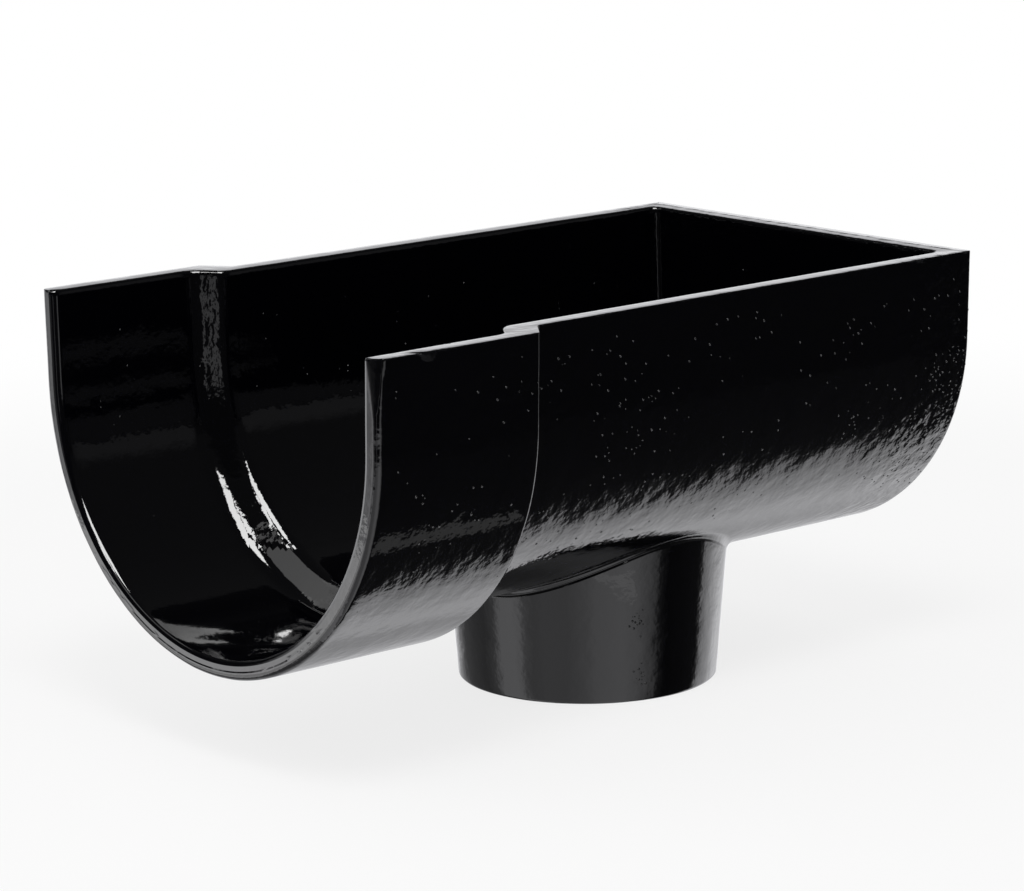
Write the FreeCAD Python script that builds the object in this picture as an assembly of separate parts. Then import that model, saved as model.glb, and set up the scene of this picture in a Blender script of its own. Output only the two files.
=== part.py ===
import FreeCAD
import Part
import os
from math import cos, hypot, radians, sin, tan

# A stop-end outlet for deep half-round gutter, cast in one piece: a length of gutter with a socket
# mouth at one end, a flat stop end at the other and a round, tapered outlet spigot under it.
# The origin is on the outlet's axis, in the plane of the spigot's lower end. +X runs to the stop end.

# Lengths in millimetres, angles in degrees.
total_length = 200.0
outlet_from_mouth = 120.0
rim_height = 106.0         # rim above the spigot's lower end

gutter_width = 115.0       # outside, over the rim
gutter_depth = 78.0        # rim to the underside
gutter_wall = 5.0
side_draft = 1.4           # lean of the side walls, wider towards the rim

socket_length = 41.5       # mouth to the inner shoulder
socket_wall = 4.8
joint_gap = 2.2            # room for putty round the gutter that lies in the socket
shoulder_run = 5.5         # length over which a shoulder steps in
shoulder_lag = 5.0         # the outer shoulder starts this far behind the inner one

stop_wall = 6.5

spigot_diameter = 66.0     # at its lower end
spigot_wall = 5.0
spigot_draft = 4.8         # taper of each side, wider towards the gutter

junction_fillet = 3.5      # spigot into the gutter, outside
passage_lip = 3.0          # trough into the spigot, inside
trough_corner = 2.5        # trough into the stop end
stop_corner = 2.5          # outer edge of the stop end
shoulder_hollow = 6.0      # foot of the inner shoulder, in the socket
shoulder_crest = 4.0       # top of the inner shoulder, in the trough
shoulder_foot = 2.5        # foot of the outer shoulder, on the gutter
edge_break = 0.7           # bevel of the rim's and the mouth's edges
spigot_end_break = 0.6     # bevel of the edges at the spigot's lower end

# Places that follow from the sizes. The trough, the socket and their outsides share one long axis,
# the centre of the half round, and their side walls rise from it at the same draft.
lean = radians(side_draft)
gutter_radius = (gutter_width / 2 * cos(lean) - gutter_depth * sin(lean)) / (1 - sin(lean))
trough_radius = gutter_radius - gutter_wall
socket_inner_radius = gutter_radius + joint_gap
socket_radius = socket_inner_radius + socket_wall
web_radius = trough_radius / 2      # inside this the stop end is one flat plate
axis_height = rim_height - gutter_depth + gutter_radius
mouth_x = -outlet_from_mouth
stop_x = mouth_x + total_length
trough_end_x = stop_x - stop_wall
inner_shoulder_x = mouth_x + socket_length
outer_shoulder_x = inner_shoulder_x + shoulder_lag

along = FreeCAD.Vector(1, 0, 0)
long_axis = FreeCAD.Vector(0, 0, axis_height)
overcut = 2.0              # how far a cutting shape runs past the surface that it opens
near = 1e-3


# A closed outline from its corners. Each corner is a point and the radius that rounds it.
def rounded_outline(corners):
    edges = []
    ends = []
    for index, (point, radius) in enumerate(corners):
        back = (corners[index - 1][0] - point).normalize()
        ahead = (corners[(index + 1) % len(corners)][0] - point).normalize()
        half = back.getAngle(ahead) / 2
        start = point + back * (radius / tan(half))
        end = point + ahead * (radius / tan(half))
        if radius:
            middle = point + (back + ahead).normalize() * (radius / sin(half) - radius)
            edges.append(Part.Arc(start, middle, end).toShape())
        ends.append((start, end))
    for index, (start, end) in enumerate(ends):
        edges.append(Part.LineSegment(ends[index - 1][1], start).toShape())
    return Part.Wire(Part.__sortEdges__(edges))


# The wall cut lengthways along its lowest line, from the mouth to the stop end.
def wall_section():
    def below(x, radius):
        return FreeCAD.Vector(x, 0, axis_height - radius)
    return Part.Face(rounded_outline([
        (below(mouth_x, socket_inner_radius), 0),
        (below(mouth_x, socket_radius), 0),
        (below(outer_shoulder_x, socket_radius), 0),
        (below(outer_shoulder_x + shoulder_run, gutter_radius), shoulder_foot),
        (below(stop_x, gutter_radius), stop_corner),
        (below(stop_x, web_radius), 0),
        (below(trough_end_x, web_radius), 0),
        (below(trough_end_x, trough_radius), trough_corner),
        (below(inner_shoulder_x + shoulder_run, trough_radius), shoulder_crest),
        (below(inner_shoulder_x, socket_inner_radius), shoulder_hollow),
    ]))


# Turn a lengthways section about the long axis for the half round, then carry it up both sides.
def carried_round(section_face):
    turn = 90 - side_draft
    rise = gutter_depth / cos(lean)
    first = section_face.copy()
    first.rotate(long_axis, along, -turn)
    last = section_face.copy()
    last.rotate(long_axis, along, turn)
    half_round = first.revolve(long_axis, along, 2 * turn)
    near_side = first.extrude(FreeCAD.Vector(0, -sin(lean), cos(lean)) * rise)
    far_side = last.extrude(FreeCAD.Vector(0, sin(lean), cos(lean)) * rise)
    return half_round.fuse([near_side, far_side])


# The middle of the stop end, which laps the web that the wall section carries round.
def stop_plate():
    radius = web_radius + overcut

    def corner(side, rise):
        out = radius * cos(lean) + rise * tan(lean)
        return FreeCAD.Vector(trough_end_x, side * out, axis_height - radius * sin(lean) + rise)
    bottom = FreeCAD.Vector(trough_end_x, 0, axis_height - radius)
    outline = Part.Wire([
        Part.Arc(corner(-1, 0), bottom, corner(1, 0)).toShape(),
        Part.LineSegment(corner(1, 0), corner(1, gutter_depth)).toShape(),
        Part.LineSegment(corner(1, gutter_depth), corner(-1, gutter_depth)).toShape(),
        Part.LineSegment(corner(-1, gutter_depth), corner(-1, 0)).toShape(),
    ])
    return Part.Face(outline).extrude(along * stop_wall)


# Everything above the rim, which is flat and level all round.
def above_rim():
    width = 2 * socket_radius + gutter_depth
    corner = FreeCAD.Vector(mouth_x - overcut, -width / 2, rim_height)
    return Part.makeBox(total_length + 2 * overcut, width, 2 * gutter_depth, corner)


def spigot_radius(z, inset=0.0):
    return spigot_diameter / 2 - inset + z * tan(radians(spigot_draft))


# Tapered round on the outlet's axis, from z up into the trough.
def spigot_cone(z, inset=0.0):
    low, high = spigot_radius(z, inset), spigot_radius(axis_height, inset)
    return Part.makeCone(low, high, axis_height - z, FreeCAD.Vector(0, 0, z))


# The spigot, ending inside the gutter's wall.
def spigot():
    middle_of_wall = gutter_radius - gutter_wall / 2
    start = FreeCAD.Vector(mouth_x, 0, axis_height)
    return spigot_cone(0.0).cut(Part.makeCylinder(middle_of_wall, total_length, start, along))


def edges_where(shape, holds):
    chosen = []
    for edge in shape.Edges:
        first, last = edge.ParameterRange
        points = [edge.valueAt(first + (last - first) * share) for share in (0.1, 0.5, 0.9)]
        if all(holds(point) for point in points):
            chosen.append(edge)
    return chosen


# The curve where the spigot's outside, or the passage inset by its wall, meets the half round.
def outlet_edges(shape, inset=0.0):
    def on_cone(point):
        return point.z > near and abs(hypot(point.x, point.y) - spigot_radius(point.z, inset)) < near
    return [edge for edge in edges_where(shape, on_cone) if not isinstance(edge.Curve, Part.Line)]


def at_height(z):
    return lambda point: abs(point.z - z) < near


def at_rim_or_mouth(point):
    return at_height(rim_height)(point) or abs(point.x - mouth_x) < near


def outlet_casting():
    casting = carried_round(wall_section()).fuse(stop_plate()).removeSplitter()
    casting = casting.cut(above_rim())
    casting = casting.makeChamfer(edge_break, edges_where(casting, at_rim_or_mouth))
    casting = casting.fuse(spigot())
    casting = casting.makeFillet(junction_fillet, outlet_edges(casting))
    casting = casting.cut(spigot_cone(-overcut, spigot_wall))
    casting = casting.makeFillet(passage_lip, outlet_edges(casting, spigot_wall))
    return casting.makeChamfer(spigot_end_break, edges_where(casting, at_height(0.0)))


def save(shape, node):
    os.makedirs("parts", exist_ok=True)
    shape.exportStep("parts/" + node + ".step")
    print(node, "valid", shape.isValid(), "solids", len(shape.Solids), "mm3", round(shape.Volume))


save(outlet_casting(), "outlet_casting")
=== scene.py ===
from cmath import exp, phase
from math import atan2, cos, hypot, pi, radians, sin, sqrt, tan

import bmesh
import bpy
import numpy as np
from mathutils import Matrix, Vector


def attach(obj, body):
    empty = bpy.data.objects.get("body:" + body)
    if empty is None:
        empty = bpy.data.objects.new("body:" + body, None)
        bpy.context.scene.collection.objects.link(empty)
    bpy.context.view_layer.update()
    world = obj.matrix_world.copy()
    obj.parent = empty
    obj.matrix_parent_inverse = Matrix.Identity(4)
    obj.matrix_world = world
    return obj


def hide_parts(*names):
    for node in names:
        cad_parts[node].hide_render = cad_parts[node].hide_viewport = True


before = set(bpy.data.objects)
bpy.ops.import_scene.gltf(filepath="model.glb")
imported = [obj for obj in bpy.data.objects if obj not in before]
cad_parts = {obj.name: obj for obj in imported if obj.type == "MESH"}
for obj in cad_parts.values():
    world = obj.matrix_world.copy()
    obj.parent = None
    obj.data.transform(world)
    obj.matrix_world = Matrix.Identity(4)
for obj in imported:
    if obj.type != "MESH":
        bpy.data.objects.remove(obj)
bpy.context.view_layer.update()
mm = 0.001


# sRGB hex to the linear colour that sockets take
def linearColour(hexText):
    channels = [int(hexText[at:at + 2], 16) / 255 for at in (1, 3, 5)]
    return [c / 12.92 if c <= 0.04045 else ((c + 0.055) / 1.055) ** 2.4 for c in channels] + [1.0]


# one node with its settings, and the values and links of its sockets
def addNode(tree, kind, values=None, links=None, **settings):
    node = tree.nodes.new(kind)
    for name, value in settings.items():
        setattr(node, name, value)
    for socket, value in (values or {}).items():
        node.inputs[socket].default_value = value
    for socket, source in (links or {}).items():
        tree.links.new(source, node.inputs[socket])
    return node


# where the photograph was taken from, in millimetres and radians
cameraPlace = {
    "at": (-676.02, -748.38, 276.65),
    "yaw": 0.85463, "pitch": 0.21261, "roll": 0.01249,
    "lens": 143.18,
}


def placeCamera(p):
    yaw, pitch, roll = p["yaw"], p["pitch"], p["roll"]
    ahead = Vector((cos(yaw) * cos(pitch), sin(yaw) * cos(pitch), -sin(pitch)))
    level = Vector((sin(yaw), -cos(yaw), 0))
    down = ahead.cross(level)
    right = level * cos(roll) + down * sin(roll)
    down = down * cos(roll) - level * sin(roll)
    data = bpy.data.cameras.new("photoCamera")
    data.sensor_fit = "HORIZONTAL"
    data.sensor_width = 36.0
    data.lens = p["lens"]
    data.clip_start, data.clip_end = 0.05, 50.0
    camera = bpy.data.objects.new("photoCamera", data)
    turn = Matrix((right, -down, -ahead)).transposed()
    camera.matrix_world = Matrix.Translation(Vector(p["at"]) * mm) @ turn.to_4x4()
    bpy.context.collection.objects.link(camera)
    bpy.context.scene.camera = camera


placeCamera(cameraPlace)
print("camera placed")


# sizes of the casting in millimetres and degrees, as the CAD part has them but for the outer shoulder's
# place and the roundings of edges, which follow the photograph more closely
castingSizes = {
    "mouthX": -120.0, "stopX": 80.0, "rimZ": 106.0,
    "width": 115.0, "depth": 78.0, "wall": 5.0, "lean": 1.4,
    "socketLength": 41.5, "socketWall": 4.8, "jointGap": 2.2,
    "shoulderRun": 5.5, "shoulderLag": 6.4, "stopWall": 6.5,
    "spigotRadius": 33.0, "spigotWall": 5.0, "spigotDraft": 4.8,
    "junctionFillet": 3.5, "passageLip": 3.0, "cornerRound": 2.5, "stopRound": 0.5,
    "rimRounds": (0.1, 0.7), "rimMiddle": 0.4,                      # outside, inside, between the two
    "mouthRound": 1.6,                                              # the mouth's outer edge
    "mouthLips": [(0.3, 1.2, 0.7), (0.45, 1.8, 2.0)],               # its inner edge: near side, far side
    "shoulderEdge": 1.0, "endRound": 0.7,
    "shoulderHollow": 6.0, "shoulderCrest": 4.0,
    "tightFillet": 1.2, "tightAt": -135.0,     # the junction is sharper on this side of the spigot
    "creaseDepth": 0.28, "creaseWidth": 0.28,  # and has a crease, where two parts of the mould met
    "sandSpots": [(-12.6, -32.4, 21.0), (-11.1, -31.7, 7.0)],       # two clusters of sand on the spigot
    "sandSpotReach": 1.3,
    "knock": (3.8, 1.8, 1.6, 13.0),            # off the mouth's near corner: in, along, in lower down, down
    "nickX": -105.2, "nickReach": (1.7, 1.1, 1.2), "nickDepth": (0.7, 0.9),     # in, down
    "windowX": 46.0, "windowAngle": 56.0,      # the part of the half round that the outlet takes
    "cell": 1.5, "arcCells": 6, "rimCells": 3, "capCells": 3,
}


def derivedSizes(s):
    lean = radians(s["lean"])
    outer = (s["width"] / 2 * cos(lean) - s["depth"] * sin(lean)) / (1 - sin(lean))
    return {
        **s, "lean": lean,
        "gutterOuter": outer, "gutterInner": outer - s["wall"],
        "socketInner": outer + s["jointGap"], "socketOuter": outer + s["jointGap"] + s["socketWall"],
        "axisZ": s["rimZ"] - s["depth"] + outer,
        "innerStep": s["mouthX"] + s["socketLength"],
        "taper": tan(radians(s["spigotDraft"])),
    }


# stations along straight runs with rounded corners between them, each a point and its normal,
# both as complex numbers: lengthways place + i times distance from the long axis
def stationsAlong(corners, cells, side, arcCells):
    points = [complex(x, r) for x, r, rounding in corners]
    rounds = [rounding for x, r, rounding in corners]
    ways = [(b - a) / abs(b - a) for a, b in zip(points, points[1:])]
    turns = [phase(b / a) for a, b in zip(ways, ways[1:])]
    trims = [0.0] + [r * abs(tan(turn / 2)) for r, turn in zip(rounds[1:], turns)] + [0.0]
    stations = []
    for k, way in enumerate(ways):
        start = points[k] + way * trims[k]
        end = points[k + 1] - way * trims[k + 1]
        normal = way * 1j * side
        first = 1 if stations else 0
        for share in np.linspace(0, 1, cells[k] + 1)[first:]:
            stations.append((start + (end - start) * share, normal))
        if k < len(turns) and rounds[k + 1]:
            bulge = -1 if turns[k] * side > 0 else 1
            centre = end - normal * rounds[k + 1] * bulge
            for step in range(1, arcCells + 1):
                spun = normal * exp(1j * turns[k] * step / arcCells)
                stations.append((centre + spun * rounds[k + 1] * bulge, spun))
    return stations


# the wall's outside and inside from the middle of the mouth's face to the middle of the stop end,
# with as many stations each, so that they pair off across the rim
def wallChains(s, mouthLip):
    windowX, stop, run, lag = s["windowX"], s["stopX"], s["shoulderRun"], s["shoulderLag"]
    middle = (s["socketInner"] + s["socketOuter"]) / 2
    step = s["innerStep"]
    rest = [5, 14, round(2 * windowX / s["cell"]), 18, 30]
    lipDepth, lipWidth, lipRound = mouthLip
    mouth, big, small = s["mouthX"], s["socketOuter"], s["socketInner"]
    outside = stationsAlong([
        (mouth, middle, 0), (mouth, big, s["mouthRound"]),
        (step + lag, big, s["shoulderEdge"]),
        (step + lag + run, s["gutterOuter"], s["cornerRound"]),
        (-windowX, s["gutterOuter"], 0), (windowX, s["gutterOuter"], 0),
        (stop, s["gutterOuter"], s["stopRound"]), (stop, 0, 0),
    ], [2, 26 + s["arcCells"]] + rest, 1, s["arcCells"])
    inside = stationsAlong([
        (mouth, middle, 0), (mouth, small + lipWidth, 0.2), (mouth + lipDepth, small, lipRound),
        (step, small, s["shoulderHollow"]),
        (step + run, s["gutterInner"], s["shoulderCrest"]),
        (-windowX, s["gutterInner"], 0), (windowX, s["gutterInner"], 0),
        (stop - s["stopWall"], s["gutterInner"], s["cornerRound"]), (stop - s["stopWall"], 0, 0),
    ], [2, 2, 24] + rest, -1, s["arcCells"])
    return outside, inside


# rows round the path from the near rim, down, under and up to the far rim:
# (side, share of the straight side or None, angle from straight down, angle of the rim's rounding)
def pathRows(s):
    full = pi / 2 - s["lean"]
    window = radians(s["windowAngle"])
    rim = [pi / 2 * k / s["rimCells"] for k in range(s["rimCells"], 0, -1)]
    sideShares = np.linspace(1, 0, 17)
    angles = np.concatenate([
        np.linspace(-full, -window, 24)[1:], np.linspace(-window, window, 79)[1:],
        np.linspace(window, full, 24)[1:],
    ])
    rows = [(-1, None, None, turn) for turn in rim]
    rows += [(-1, share, None, 0) for share in sideShares]
    rows += [(0, None, angle, 0) for angle in angles[:-1]]
    rows += [(1, share, None, 0) for share in sideShares[::-1]]
    rows += [(1, None, None, turn) for turn in rim[::-1]]
    return rows


# where the rows cross one chain of stations, as an array [row, station, xyz]
def wallPoints(s, chain, rows, flatRadius, rimRound):
    place = np.array([c for c, n in chain])
    normal = np.array([n for c, n in chain])
    lean, axis = s["lean"], s["axisZ"]
    rimRound = np.full(len(chain), rimRound)
    rimRound[0] = s["rimMiddle"]
    grid = []
    for side, share, angle, rimTurn in rows:
        inset = rimRound * (1 - cos(rimTurn))
        x, r = (place - normal * inset).real, (place - normal * inset).imag
        flat = np.minimum(place.imag / flatRadius, 1.0)     # the stop end is flat: its sides close up
        foot = axis - r * sin(lean)
        if side == 0:
            y, z = r * sin(angle), axis - r * cos(angle)
        else:
            top = s["rimZ"] - rimRound
            z = foot + (top - foot) * share if share is not None else top + rimRound * sin(rimTurn)
            y = side * (r * cos(lean) + (z - foot) * tan(lean) * flat)
        grid.append(np.stack([x, y, z + 0 * x], axis=1))
    return np.array(grid)


# in the upright plane at one angle round the outlet: the circle that rounds off
# the half round (radius big) and the cone (radius low at z = 0)
def saddleRound(s, big, low, rounding, angle):
    taper, axis = s["taper"], s["axisZ"]
    across = sin(angle) ** 2

    def centreFrom(d):
        root = sqrt(big * big - d * d * across)
        slope = d * across / root
        unit = hypot(1, slope)
        return d + rounding * slope / unit, axis - root - rounding / unit, slope

    near, far = low, low + 25.0
    for step in range(50):
        middle = (near + far) / 2
        d, z, slope = centreFrom(middle)
        if (d - low - taper * z) / hypot(1, taper) < rounding:
            near = middle
        else:
            far = middle
    d, z, slope = centreFrom(middle)
    return middle, d, z, atan2(1, -slope), atan2(taper, -1)


# rows of the outlet from the window in the outside, down the spigot, under its end,
# up the passage and out to the window in the trough: an array [row, point, xyz]
def outletRows(s, outerRing, innerRing):
    angles = [atan2((a[1] + b[1]) / 2, (a[0] + b[0]) / 2) for a, b in zip(outerRing, innerRing)]
    columns = []
    for angle, outer, inner in zip(angles, outerRing, innerRing):
        tight = min(max((cos(angle - radians(s["tightAt"])) - 0.05) / 0.75, 0), 1)
        tight = tight * tight * (3 - 2 * tight)
        fillet = s["junctionFillet"] + (s["tightFillet"] - s["junctionFillet"]) * tight
        column = []
        for ring, big, low, rounding, outside in (
            (outer, s["gutterOuter"], s["spigotRadius"], fillet, True),
            (inner, s["gutterInner"], s["spigotRadius"] - s["spigotWall"], s["passageLip"], False),
        ):
            start, centreD, centreZ, turnStart, turnEnd = saddleRound(s, big, low, rounding, angle)
            half = []
            target = np.array([start * cos(angle), start * sin(angle)])
            for share in np.linspace(0, 1, 11)[:-1]:
                plan = np.array(ring[:2]) * (1 - share) + target * share
                half.append((plan[0], plan[1], s["axisZ"] - sqrt(big * big - plan[1] ** 2)))
            for share in np.linspace(0, 1, 6):
                turn = turnStart + (turnEnd - turnStart) * share
                d, z = centreD + rounding * cos(turn), centreZ + rounding * sin(turn)
                half.append((d * cos(angle), d * sin(angle), z))
            endZ, spin = s["endRound"], 1 if outside else -1
            width = s["creaseWidth"]
            crease = s["creaseDepth"] * tight if outside else 0
            near = 4 * width
            for under in [*np.linspace(0, near, 9)[1:], *np.linspace(near, z - endZ, 15)[1:]]:
                groove = crease * exp(-(under / width - 1.6) ** 2).real
                d = low + s["taper"] * (z - under) - groove
                half.append((d * cos(angle), d * sin(angle), z - under))
            for turn in np.linspace(0, pi / 2, 4)[1:]:
                level = endZ * (1 - sin(turn))
                d = low + s["taper"] * endZ - spin * endZ * (1 - cos(turn))
                half.append((d * cos(angle), d * sin(angle), level))
            column.append(half)
        outerHalf, innerHalf = column
        ends = np.array(outerHalf[-1]), np.array(innerHalf[-1])
        flat = [tuple(ends[0] + (ends[1] - ends[0]) * share) for share in (1 / 3, 2 / 3)]
        columns.append(outerHalf + flat + innerHalf[::-1])
    return np.array(columns).transpose(1, 0, 2)


# ring of grid points round the window, from station a to b and row p to q
def windowRing(grid, a, b, p, q):
    return np.concatenate([grid[p, a:b], grid[p:q, b], grid[q, b:a:-1], grid[q:p:-1, a]])


# the knock at the top of the near mouth corner and the nick in the near rim of the socket
def knockedAbout(points, s):
    side = -(s["socketOuter"] * cos(s["lean"]) + (s["rimZ"] - s["axisZ"] + s["socketOuter"] * sin(s["lean"]))
             * tan(s["lean"]))
    mouth, rim = s["mouthX"], s["rimZ"]
    inwards, along, inwardsBelow, down = s["knock"]
    corners = np.array([(mouth, side + inwards, rim), (mouth + along, side, rim),
                        (mouth, side + inwardsBelow, rim - down)])
    flat = np.cross(corners[1] - corners[0], corners[2] - corners[0])
    flat = -flat / np.linalg.norm(flat) * np.sign(flat[0])
    beyond = (points - corners[0]) @ flat
    there = (points[:, 0] < mouth + 4) & (points[:, 1] < side + 6) & (points[:, 2] > rim - down - 1)
    there &= beyond > 0
    points[there] -= beyond[there, None] * flat
    away = (points - (s["nickX"], side, rim)) / s["nickReach"]
    nick = np.exp(-(away ** 2).sum(axis=1))
    points[:, 2] -= s["nickDepth"][1] * nick
    points[:, 1] += s["nickDepth"][0] * nick
    return points


def castingMesh(sizes):
    s = derivedSizes(sizes)
    (outside, nearInside), (outside, farInside) = (wallChains(s, lip) for lip in s["mouthLips"])
    rows = pathRows(s)
    # 0 on the near side, 1 on the far side, with the change at 20 to 49 degrees past the bottom
    farther = np.array([np.clip((angle - 0.35) / 0.5, 0, 1) if side == 0 else (side + 1) / 2
                        for side, share, angle, turn in rows])[:, None, None]
    outerGrid = wallPoints(s, outside, rows, s["gutterOuter"] - s["stopRound"], s["rimRounds"][0])
    nearGrid, farGrid = (wallPoints(s, inside, rows, s["gutterInner"] - s["cornerRound"], s["rimRounds"][1])
                         for inside in (nearInside, farInside))
    innerGrid = nearGrid * (1 - farther) + farGrid * farther
    near = 1e-6
    a = next(k for k, (c, n) in enumerate(outside) if abs(c.real + s["windowX"]) < near)
    b = next(k for k, (c, n) in enumerate(outside) if abs(c.real - s["windowX"]) < near)
    window = radians(s["windowAngle"])
    p = next(k for k, row in enumerate(rows) if row[2] is not None and abs(row[2] + window) < near)
    q = next(k for k, row in enumerate(rows) if row[2] is not None and abs(row[2] - window) < near)

    points, faces = [], []

    # quads over a grid of points, less the window, and closed round if it is a ring
    def addGrid(grid, hole=None, ring=False):
        base = len(points)
        rowCount, width = grid.shape[:2]
        points.extend(map(tuple, grid.reshape(-1, 3)))
        for j in range(rowCount - 1):
            for i in range(width if ring else width - 1):
                if hole and hole[0] <= i < hole[1] and hole[2] <= j < hole[3]:
                    continue
                k = (i + 1) % width
                faces.append((base + j * width + i, base + j * width + k,
                              base + (j + 1) * width + k, base + (j + 1) * width + i))

    addGrid(outerGrid, (a, b, p, q))
    addGrid(innerGrid, (a, b, p, q))
    for edge in (0, -1):
        shares = np.linspace(0, 1, s["capCells"] + 1)[:, None, None]
        addGrid(outerGrid[edge] * (1 - shares) + innerGrid[edge] * shares)
    addGrid(outletRows(s, windowRing(outerGrid, a, b, p, q), windowRing(innerGrid, a, b, p, q)), ring=True)

    work = bmesh.new()
    points = knockedAbout(np.array(points), s)
    verts = [work.verts.new(Vector(point) * mm) for point in points]
    for face in faces:
        work.faces.new([verts[k] for k in face])
    bmesh.ops.remove_doubles(work, verts=work.verts, dist=0.002 * mm)
    bmesh.ops.dissolve_degenerate(work, edges=work.edges, dist=0.0005 * mm)
    bmesh.ops.recalc_face_normals(work, faces=work.faces)
    mesh = bpy.data.meshes.new("castingShell")
    work.to_mesh(mesh)
    openEdges = sum(1 for edge in work.edges if not edge.is_manifold)
    print("casting: faces", len(mesh.polygons), "open edges", openEdges)
    work.free()
    mesh.shade_smooth()

    # how rough the casting is under the paint, and where sand stuck to it
    place = np.empty(len(mesh.vertices) * 3)
    mesh.vertices.foreach_get("co", place)
    x, y, z = place.reshape(-1, 3).T / mm
    rise = z - s["axisZ"]
    out = np.hypot(y, np.minimum(rise, 0)) - np.maximum(rise, 0) * tan(s["lean"])
    middle = np.interp(x, (s["innerStep"] + 2, s["innerStep"] + 8),
                       (s["socketInner"] + s["socketWall"] / 2, s["gutterInner"] + s["wall"] / 2))
    outside = np.clip((out - middle) / 2 + 0.5, 0, 1) + (x > s["stopX"] - 3)
    spigot = np.clip((s["spigotRadius"] + 6 - np.hypot(x, y)) / 3, 0, 1) * np.clip((44 - z) / 4, 0, 1)
    ramp = np.exp(-((x - s["innerStep"] - 2.5) / 3.5) ** 2) * (1 - np.minimum(outside, 1)) * (1 - spigot)
    roughness = 0.4 + 0.6 * np.minimum(outside, 1) + 1.3 * ramp         # smoother inside than outside
    roughness = roughness * (1 - spigot) + 0.75 * spigot
    roughness[(outside < 0.5) & (z < 40) & (spigot == 0)] *= 0.35       # the trough's floor
    roughness[x > s["stopX"] - 0.3] *= 0.3                              # the stop end's face
    wall = np.clip((z - 42) / 10, 0, 1) * np.clip((101 - z) / 2, 0, 1) * np.clip((x + 116) / 2, 0, 1)
    corner = np.clip((x - 58) / 12, 0, 1) * np.clip((88 - z) / 12, 0, 1)
    sandy = wall * np.where(outside > 0.5, 1.0, 0.15) * (1 + 6.0 * corner) * (1 - spigot)
    spots = sum(np.exp(-((x - at[0]) ** 2 + (y - at[1]) ** 2 + (z - at[2]) ** 2) / s["sandSpotReach"] ** 2)
                for at in s["sandSpots"])
    for name, values in (("roughCast", roughness), ("sandy", sandy), ("sandSpot", spots)):
        mesh.attributes.new(name, "FLOAT", "POINT").data.foreach_set("value", values)
    return mesh


# black gloss paint on rough cast iron: brushed on thick, so it is level and shiny over the casting's
# grain, with orange peel from its drying
paintLooks = {
    "colour": "#020204", "roughness": 0.055, "ior": 1.5,
    "waveSize": 8.0, "waveHeight": 0.15,         # mm, swells of the casting under the paint
    "peelSize": 3.4, "peelHeight": 0.11,         # mm, orange peel
    "grainSize": 1.3, "grainHeight": 0.035,      # mm, sand grain showing through
    "coarseFrom": 44.0, "coarseTo": 78.0, "coarser": 4.5,     # mm along the gutter, towards the stop end
}


def glossPaint(p):
    material = bpy.data.materials.new("blackGlossPaintOnCastIron")
    material.use_nodes = True
    tree = material.node_tree
    tree.nodes.clear()
    place = addNode(tree, "ShaderNodeTexCoord").outputs["Object"]
    rough = addNode(tree, "ShaderNodeAttribute", attribute_name="roughCast").outputs["Fac"]
    lengthways = addNode(tree, "ShaderNodeSeparateXYZ", links={0: place}).outputs["X"]
    coarse = addNode(tree, "ShaderNodeMapRange",
                     {"From Min": p["coarseFrom"] * mm, "From Max": p["coarseTo"] * mm,
                      "To Min": 1.0, "To Max": p["coarser"]},
                     {"Value": lengthways}, interpolation_type="SMOOTHSTEP")
    strength = addNode(tree, "ShaderNodeMath", links={0: rough, 1: coarse.outputs["Result"]},
                       operation="MULTIPLY").outputs[0]

    normal = None
    for name, detail, amount in (("wave", 1.0, rough), ("peel", 2.0, strength), ("grain", 2.0, rough)):
        noise = addNode(tree, "ShaderNodeTexNoise", {"Scale": 1000 / p[name + "Size"], "Detail": detail},
                        {"Vector": place})
        height = addNode(tree, "ShaderNodeMath", links={0: noise.outputs["Fac"], 1: amount},
                         operation="MULTIPLY")
        links = {"Height": height.outputs[0]}
        if normal:
            links["Normal"] = normal
        normal = addNode(tree, "ShaderNodeBump", {"Strength": 1.0, "Distance": p[name + "Height"] * mm},
                         links).outputs["Normal"]
    shader = addNode(tree, "ShaderNodeBsdfPrincipled",
                     {"Base Color": linearColour(p["colour"]), "Roughness": p["roughness"], "IOR": p["ior"]},
                     {"Normal": normal})
    addNode(tree, "ShaderNodeOutputMaterial", links={"Surface": shader.outputs["BSDF"]})
    return material


# the cast skin: swells and ripples of the sand mould, and nibs of sand that the paint covers
skinSizes = {
    "Wave Height": 0.16, "Wave Size": 16.0, "Ripple Height": 0.07, "Ripple Size": 5.0,     # mm
    "Nib Density": 0.065, "Spot Density": 2.8, "Nib Radius": 0.31,       # nibs to a square millimetre, mm
    "Seed": 7,
}


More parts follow.
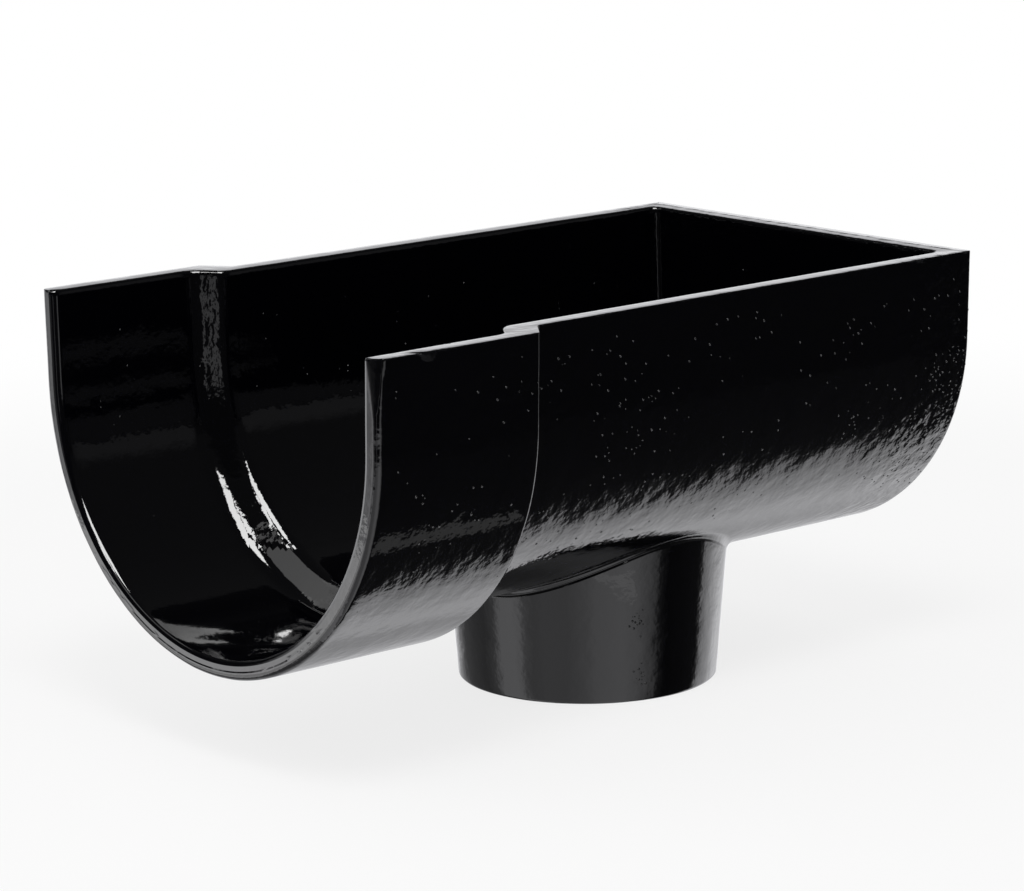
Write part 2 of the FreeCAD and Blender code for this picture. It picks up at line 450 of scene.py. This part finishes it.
def castSkinTree():
    tree = bpy.data.node_groups.new("castSkin", "GeometryNodeTree")
    sockets = {}
    for name, kind in (("Geometry", "Geometry"), ("Wave Height", "Float"), ("Wave Size", "Float"),
                       ("Ripple Height", "Float"), ("Ripple Size", "Float"), ("Nib Density", "Float"),
                       ("Spot Density", "Float"), ("Nib Radius", "Float"), ("Seed", "Int"),
                       ("Material", "Material")):
        sockets[name] = tree.interface.new_socket(name, in_out="INPUT", socket_type="NodeSocket" + kind)
    tree.interface.new_socket("Geometry", in_out="OUTPUT", socket_type="NodeSocketGeometry")
    given = addNode(tree, "NodeGroupInput").outputs
    place = addNode(tree, "GeometryNodeInputPosition").outputs[0]
    normal = addNode(tree, "GeometryNodeInputNormal").outputs[0]
    rough, sandy, spot = (
        addNode(tree, "GeometryNodeInputNamedAttribute", {"Name": name}, data_type="FLOAT").outputs[0]
        for name in ("roughCast", "sandy", "sandSpot"))

    rises = []
    for name in ("Wave", "Ripple"):
        scale = addNode(tree, "ShaderNodeMath", {0: 1.0}, {1: given[name + " Size"]}, operation="DIVIDE")
        noise = addNode(tree, "ShaderNodeTexNoise", {"Detail": 1.0},
                        {"Vector": place, "Scale": scale.outputs[0]})
        centred = addNode(tree, "ShaderNodeMath", {1: 0.5}, {0: noise.outputs[0]}, operation="SUBTRACT")
        rises.append(addNode(tree, "ShaderNodeMath", links={0: centred.outputs[0], 1: given[name + " Height"]},
                             operation="MULTIPLY").outputs[0])
    rise = addNode(tree, "ShaderNodeMath", links={0: rises[0], 1: rises[1]}, operation="ADD")
    masked = addNode(tree, "ShaderNodeMath", links={0: rise.outputs[0], 1: rough}, operation="MULTIPLY")
    offset = addNode(tree, "ShaderNodeVectorMath", links={0: normal, "Scale": masked.outputs[0]},
                     operation="SCALE")
    skin = addNode(tree, "GeometryNodeSetPosition", links={"Geometry": given["Geometry"],
                                                           "Offset": offset.outputs[0]})

    # nibs gather in patches, where a slow noise is high
    patchSize = 30                                   # mm
    patchy = addNode(tree, "ShaderNodeTexNoise", {"Scale": 1000 / patchSize, "Detail": 1.0}, {"Vector": place})
    patch = addNode(tree, "ShaderNodeMapRange", {"From Min": 0.42, "From Max": 0.62, "To Min": 0.1},
                    {"Value": patchy.outputs[0]})
    density = addNode(tree, "ShaderNodeMath", links={0: patch.outputs["Result"], 1: given["Nib Density"]},
                      operation="MULTIPLY")
    density = addNode(tree, "ShaderNodeMath", links={0: density.outputs[0], 1: sandy}, operation="MULTIPLY")
    spotty = addNode(tree, "ShaderNodeMath", links={0: spot, 1: given["Spot Density"]}, operation="MULTIPLY")
    density = addNode(tree, "ShaderNodeMath", links={0: density.outputs[0], 1: spotty.outputs[0]})
    spots = addNode(tree, "GeometryNodeDistributePointsOnFaces",
                    links={"Mesh": skin.outputs[0], "Density": density.outputs[0], "Seed": given["Seed"]})
    ball = addNode(tree, "GeometryNodeMeshIcoSphere", {"Subdivisions": 1}, {"Radius": given["Nib Radius"]})
    low = addNode(tree, "GeometryNodeTransform", {"Scale": (1.0, 1.0, 0.3)}, {"Geometry": ball.outputs[0]})
    size = addNode(tree, "FunctionNodeRandomValue", {2: 0.5, 3: 1.25}, {"Seed": given["Seed"]},
                   data_type="FLOAT")
    nibs = addNode(tree, "GeometryNodeInstanceOnPoints",
                   links={"Points": spots.outputs["Points"], "Instance": low.outputs[0],
                          "Rotation": spots.outputs["Rotation"], "Scale": size.outputs[1]})
    real = addNode(tree, "GeometryNodeRealizeInstances", links={0: nibs.outputs[0]})
    smooth = addNode(tree, "GeometryNodeSetShadeSmooth", links={0: real.outputs[0]})
    both = addNode(tree, "GeometryNodeJoinGeometry")
    tree.links.new(smooth.outputs[0], both.inputs[0])
    tree.links.new(skin.outputs[0], both.inputs[0])
    named = addNode(tree, "GeometryNodeSetMaterial", links={"Geometry": both.outputs[0],
                                                            "Material": given["Material"]})
    addNode(tree, "NodeGroupOutput", links={0: named.outputs[0]})
    return tree, sockets


# the finished casting as a plain mesh
def skinned(piece, p, material):
    tree, sockets = castSkinTree()
    modifier = piece.modifiers.new("castSkin", "NODES")
    modifier.node_group = tree
    for name, value in p.items():
        if name.endswith("Density"):
            value /= mm * mm
        elif name != "Seed":
            value *= mm
        modifier[sockets[name].identifier] = value
    modifier[sockets["Material"].identifier] = material
    bpy.context.view_layer.update()
    plain = bpy.data.meshes.new_from_object(piece.evaluated_get(bpy.context.evaluated_depsgraph_get()))
    piece.modifiers.remove(modifier)
    piece.data = plain
    print("cast skin: faces", len(plain.polygons), "materials", [m.name for m in plain.materials if m])


paint = glossPaint(paintLooks)
casting = bpy.data.objects.new("paintedCasting", castingMesh(castingSizes))
bpy.context.collection.objects.link(casting)
skinned(casting, skinSizes, paint)
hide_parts("outlet_casting")
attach(casting, "root")
print("casting made")


# a pale floor that is plain white away from the casting, and takes its shadow
floorSizes = {
    "half": 6.0, "shadowTo": 0.25, "whiteFrom": 0.5,      # metres
    "lift": 0.8,                                          # how far its shadow is lifted to white
}


def paleFloor(p):
    mesh = bpy.data.meshes.new("floor")
    half = p["half"]
    mesh.from_pydata([(-half, -half, 0), (half, -half, 0), (half, half, 0), (-half, half, 0)], [],
                     [(0, 1, 2, 3)])
    floor = bpy.data.objects.new("floor", mesh)
    bpy.context.collection.objects.link(floor)
    floor.visible_glossy = False
    material = bpy.data.materials.new("paleFloor")
    material.use_nodes = True
    tree = material.node_tree
    tree.nodes.clear()
    place = addNode(tree, "ShaderNodeTexCoord").outputs["Object"]
    far = addNode(tree, "ShaderNodeVectorMath", links={0: place}, operation="LENGTH")
    fade = addNode(tree, "ShaderNodeMapRange",
                   {"From Min": p["shadowTo"], "From Max": p["whiteFrom"], "To Min": p["lift"]},
                   {"Value": far.outputs["Value"]}, interpolation_type="SMOOTHSTEP")
    pale = addNode(tree, "ShaderNodeBsdfDiffuse", {"Color": linearColour("#fbfbfb")})
    white = addNode(tree, "ShaderNodeEmission", {"Color": (1, 1, 1, 1), "Strength": 1.0})
    seen = addNode(tree, "ShaderNodeMixShader", links={0: fade.outputs["Result"], 1: pale.outputs[0],
                                                       2: white.outputs[0]})
    path = addNode(tree, "ShaderNodeLightPath")
    mix = addNode(tree, "ShaderNodeMixShader", links={0: path.outputs["Is Camera Ray"], 1: pale.outputs[0],
                                                      2: seen.outputs[0]})
    addNode(tree, "ShaderNodeOutputMaterial", links={"Surface": mix.outputs[0]})
    mesh.materials.append(material)


paleFloor(floorSizes)

# the key lamp hangs above and behind the camera, and the two cards lie on the floor and face up: metres, watts
lampPlaces = {
    "key": {"at": (-0.386, -0.46, 1.09), "to": (0, 0, 0.05), "size": (0.4, 0.4), "power": 4.5, "shines": False},
    "window": {"at": (-0.98, 0.57, 1.03), "to": (0, 0, 0.05), "size": (0.95, 0.45), "power": 1.8},
    "leftCard": {"at": (-0.205, 0.115, 0.002), "to": (-0.205, 0.115, 1), "size": (0.15, 0.23), "power": 0.17},
    "frontCard": {"at": (-0.045, -0.098, 0.002), "to": (-0.045, -0.098, 1), "size": (0.06, 0.012),
                  "power": 0.0008},
}


def softLamp(name, p):
    data = bpy.data.lights.new(name, "AREA")
    data.shape = "RECTANGLE"
    data.size, data.size_y = p["size"]
    data.energy = p["power"]
    lamp = bpy.data.objects.new(name, data)
    lamp.location = p["at"]
    lamp.rotation_euler = (Vector(p["to"]) - Vector(p["at"])).to_track_quat("-Z", "Y").to_euler()
    lamp.visible_camera = False
    lamp.visible_glossy = p.get("shines", True)      # the tent has the key's highlight
    bpy.context.collection.objects.link(lamp)


for name, p in lampPlaces.items():
    softLamp(name, p)

# the light tent round the object, as its gloss shows it: brightness by compass angle in degrees, in a band
# low down, one at the horizon's level and one above it, with a dark ceiling over them
tentBands = {
    "low": [(-180, .75), (-171, .85), (-150, .85), (-135, 1.05), (-125, 1.3), (-100, 1.45), (-88, 1.25),
            (-80, .95), (-73, .65), (-67, .12), (-60, .03), (-24, .05), (-20, .2), (-17, 1.15), (-9, 1.6),
            (10, 1.8), (20, 1.6), (32, .9), (45, .7), (72, .65), (85, .5), (95, .27), (127, .3), (138, .55),
            (146, 1.5), (160, 1.7), (167, 1.6), (172, .95), (180, .75)],
    "level": [(-180, .05), (-159, .04), (-157, .8), (-153.5, .8), (-152, .04), (-110, .03), (-101, .9),
              (-82, .9), (-74, .03), (-20, .02), (0, .8), (30, 1.2), (70, 1.5), (92, 2.0), (108, 2.0),
              (116, 1.0), (123, .95), (129, 1.8), (140, 1.8), (155, .4), (180, .05)],
    "high": [(-180, .03), (-75, .03), (-55, .15), (-10, .15), (5, .03), (20, 1.3), (85, 1.3), (100, .03),
             (180, .03)],
    # compass angle, rise, half sizes, glow, and the least reflections that it is seen by:
    # the last one shows only by way of the socket's floor
    "windows": [(-137, 59, 12, 21, 18.0, 1), (-168, 47, 7, 6, 18.0, 1), (116, 61, 4, 4, 40.0, 2)],
    "top": 20.0, "fade": 5.0, "brightest": 2.0, "ceiling": .06, "room": .5, "tint": "#fcfcff",
}


def tentWorld(p):
    world = bpy.data.worlds.new("lightTent")
    bpy.context.scene.world = world
    world.use_nodes = True
    tree = world.node_tree
    tree.nodes.clear()
    way = addNode(tree, "ShaderNodeTexCoord").outputs["Generated"]
    axes = addNode(tree, "ShaderNodeSeparateXYZ", links={0: way}).outputs
    compass = addNode(tree, "ShaderNodeMath", links={0: axes["Y"], 1: axes["X"]}, operation="ARCTAN2")
    share = addNode(tree, "ShaderNodeMapRange", {"From Min": -pi, "From Max": pi},
                    {"Value": compass.outputs[0]})
    rise = addNode(tree, "ShaderNodeMath", links={0: axes["Z"]}, operation="ARCSINE").outputs[0]
    steep = addNode(tree, "ShaderNodeMapRange", {"From Min": radians(-43), "From Max": radians(-52),
                                                 "To Max": -10 / 360}, {"Value": rise})
    share = addNode(tree, "ShaderNodeMath", links={0: share.outputs[0], 1: steep.outputs[0]}, operation="ADD")

    tint = linearColour(p["tint"])

    def bands(stops):
        ramp = addNode(tree, "ShaderNodeValToRGB", links={"Fac": share.outputs[0]})
        stripes = ramp.color_ramp.elements
        while len(stripes) < len(stops):
            stripes.new(0.5)
        for stripe, (angle, glow) in zip(stripes, stops):
            stripe.position = angle / 360 + 0.5
            stripe.color = [glow / p["brightest"] * c for c in tint[:3]] + [1]
        return ramp.outputs["Color"]

    above = addNode(tree, "ShaderNodeMapRange", {"From Min": radians(-3), "From Max": radians(1)},
                    {"Value": rise}, interpolation_type="SMOOTHSTEP")
    over = addNode(tree, "ShaderNodeMapRange", {"From Min": radians(p["top"]),
                                                "From Max": radians(p["top"] + p["fade"])},
                   {"Value": rise}, interpolation_type="SMOOTHSTEP")
    below = addNode(tree, "ShaderNodeMapRange", {"From Min": radians(-14), "From Max": radians(-18)},
                    {"Value": rise}, interpolation_type="SMOOTHSTEP")
    lower = addNode(tree, "ShaderNodeMix", data_type="RGBA",
                    links={0: below.outputs["Result"], 6: bands(p["level"]), 7: bands(p["low"])})
    sides = addNode(tree, "ShaderNodeMix", data_type="RGBA",
                    links={0: above.outputs["Result"], 6: lower.outputs[2], 7: bands(p["high"])})
    dark = (p["ceiling"] / p["brightest"],) * 3 + (1,)
    tent = addNode(tree, "ShaderNodeMix", {7: dark}, data_type="RGBA",
                   links={0: over.outputs["Result"], 6: sides.outputs[2]})
    tent = tent.outputs[2]

    # lit windows in the dark ceiling, square as seen from the casting
    path = addNode(tree, "ShaderNodeLightPath")
    for angle, height, halfWidth, halfHeight, glow, least in p["windows"]:
        around, up = radians(angle), radians(height)
        ahead = (cos(up) * cos(around), cos(up) * sin(around), sin(up))
        side = (-sin(around), cos(around), 0)
        over = (-sin(up) * cos(around), -sin(up) * sin(around), cos(up))
        along, across, rising = (
            addNode(tree, "ShaderNodeVectorMath", {1: axis}, {0: way}, operation="DOT_PRODUCT").outputs["Value"]
            for axis in (ahead, side, over))
        inside = addNode(tree, "ShaderNodeMath", {1: 0.0}, {0: along}, operation="GREATER_THAN").outputs[0]
        for offset, half in ((across, halfWidth), (rising, halfHeight)):
            slope = addNode(tree, "ShaderNodeMath", links={0: offset, 1: along}, operation="DIVIDE")
            size = addNode(tree, "ShaderNodeMath", links={0: slope.outputs[0]}, operation="ABSOLUTE")
            within = addNode(tree, "ShaderNodeMath", {1: tan(radians(half))}, {0: size.outputs[0]},
                             operation="LESS_THAN")
            inside = addNode(tree, "ShaderNodeMath", links={0: inside, 1: within.outputs[0]},
                             operation="MULTIPLY").outputs[0]
        if least > 1:
            later = addNode(tree, "ShaderNodeMath", {1: least - 0.5}, {0: path.outputs["Glossy Depth"]},
                            operation="GREATER_THAN")
            inside = addNode(tree, "ShaderNodeMath", links={0: inside, 1: later.outputs[0]},
                             operation="MULTIPLY").outputs[0]
        bright = (glow / p["brightest"],) * 3 + (1,)
        tent = addNode(tree, "ShaderNodeMix", {7: bright}, data_type="RGBA", clamp_result=False,
                       links={0: inside, 6: tent}).outputs[2]

    shown = addNode(tree, "ShaderNodeBackground", {"Strength": p["brightest"]}, {"Color": tent})
    room = addNode(tree, "ShaderNodeBackground", {"Color": (1, 1, 1, 1), "Strength": p["room"]})
    white = addNode(tree, "ShaderNodeBackground", {"Color": (1, 1, 1, 1), "Strength": 1.0})
    lit = addNode(tree, "ShaderNodeMixShader", links={0: path.outputs["Is Glossy Ray"], 1: room.outputs[0],
                                                      2: shown.outputs[0]})
    mix = addNode(tree, "ShaderNodeMixShader", links={0: path.outputs["Is Camera Ray"], 1: lit.outputs[0],
                                                      2: white.outputs[0]})
    addNode(tree, "ShaderNodeOutputWorld", links={"Surface": mix.outputs[0]})


tentWorld(tentBands)
bpy.context.scene.view_settings.view_transform = "Standard"
print("light set")
